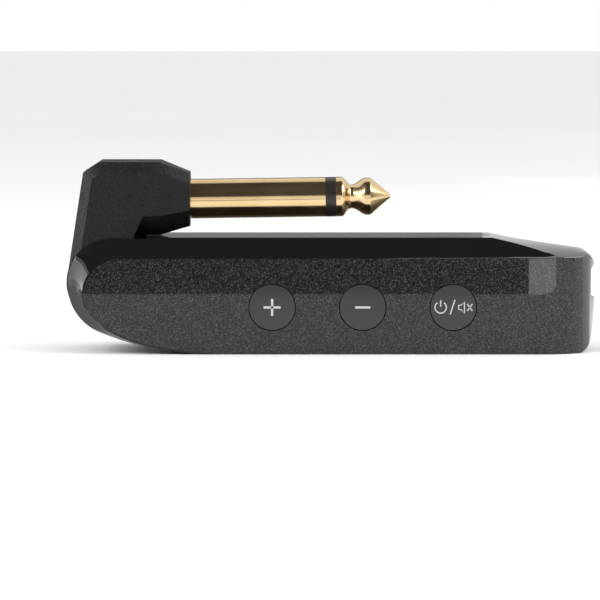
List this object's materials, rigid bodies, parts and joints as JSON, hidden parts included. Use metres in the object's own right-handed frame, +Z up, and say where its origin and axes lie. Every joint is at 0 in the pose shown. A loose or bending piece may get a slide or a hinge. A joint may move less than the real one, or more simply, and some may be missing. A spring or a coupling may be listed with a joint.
{
  "type": "wireless guitar transmitter",
  "caption": "Slim stick-shaped wireless guitar transmitter with a fold-out gold instrument plug on a hinged black arm, round side buttons and an end charging socket.",
  "frame": {"origin": "under the middle of the case, on the surface it stands on", "axes": "+X along the case from the hinge end to the charging socket, +Y away from the side with the buttons, +Z up; the plug arm is folded over the flat top"},
  "size_m": [0.0841, 0.0208, 0.0302],
  "materials": {
    "cover_gloss": "high-gloss black",
    "housing_sparkle": "charcoal lacquer with fine metallic sparkle",
    "screw_steel": "blackened steel",
    "label_film": "matt blank film",
    "badge_satin": "satin black with a fine ring",
    "lens_smoke": "smoked clear plastic",
    "guide_clear": "frosted clear plastic",
    "led_white": "white package",
    "button_satin": "satin dark grey",
    "switch_white": "white plunger",
    "switch_steel": "tinned switch frame",
    "board_mask": "green solder mask",
    "cell_foil": "laminate pouch",
    "pad_foam": "foam",
    "chip_black": "moulded package",
    "shield_tin": "tinned can",
    "antenna_ceramic": "ceramic",
    "socket_steel": "nickel-plated shell",
    "socket_tongue": "black tongue",
    "lead_insulation": "soft insulation",
    "bush_white": "acetal",
    "spring_steel": "spring steel",
    "pin_steel": "ground steel",
    "arm_screw_steel": "blackened steel",
    "arm_moulding": "fine-grained matt black",
    "plug_gold": "gold-plated brass",
    "plug_black": "black insulator ring",
    "plug_tube": "nylon tube",
    "lug_tin": "tinned tag"
  },
  "bodies": {
    "housing": {"top_cover": "cover_gloss", "lower_housing": "housing_sparkle", "housing_screws": "screw_steel", "rating_label": "label_film", "badge_disc": "badge_satin", "indicator_lenses": "lens_smoke", "light_guide": "guide_clear", "status_leds": "led_white", "key_switches": "switch_steel", "switch_board": "board_mask", "battery_cell": "cell_foil", "battery_pad": "pad_foam", "main_board": "board_mask", "board_link": "chip_black", "radio_shield": "shield_tin", "chip_antenna": "antenna_ceramic", "board_chips": "chip_black", "socket_shell": "socket_steel", "socket_tongue": "socket_tongue", "battery_leads": "lead_insulation", "near_bush": "bush_white", "far_bush": "bush_white", "friction_washer": "spring_steel"},
    "plug_arm": {"near_arm_shell": "arm_moulding", "far_arm_shell": "arm_moulding", "arm_screws": "arm_screw_steel", "plug_sleeve": "plug_gold", "plug_ring": "plug_black", "plug_tube": "plug_tube", "plug_tip": "plug_gold", "sleeve_lug": "lug_tin", "tip_lug": "lug_tin", "jack_wires": "lead_insulation", "hinge_pin": "pin_steel", "detent_spring": "spring_steel"},
    "plus_key": {"plus_button": "button_satin", "plus_plunger": "switch_white"},
    "minus_key": {"minus_button": "button_satin", "minus_plunger": "switch_white"},
    "power_key": {"power_button": "button_satin", "power_plunger": "switch_white"}
  },
  "joints": [
    {"name": "plug_hinge", "type": "hinge", "parent": "housing", "child": "plug_arm", "pos_m": [-0.03503, 0, 0.01115], "axis": [0, -1, 0], "range_deg": [0, 180]},
    {"name": "plus_press", "type": "slide", "parent": "housing", "child": "plus_key", "axis": [0, 1, 0], "range_m": [0, 0.0004], "stiffness_N_per_m": 400, "springref_m": -0.0005},
    {"name": "minus_press", "type": "slide", "parent": "housing", "child": "minus_key", "axis": [0, 1, 0], "range_m": [0, 0.0004], "stiffness_N_per_m": 400, "springref_m": -0.0005},
    {"name": "power_press", "type": "slide", "parent": "housing", "child": "power_key", "axis": [0, 1, 0], "range_m": [0, 0.0004], "stiffness_N_per_m": 400, "springref_m": -0.0005}
  ]
}
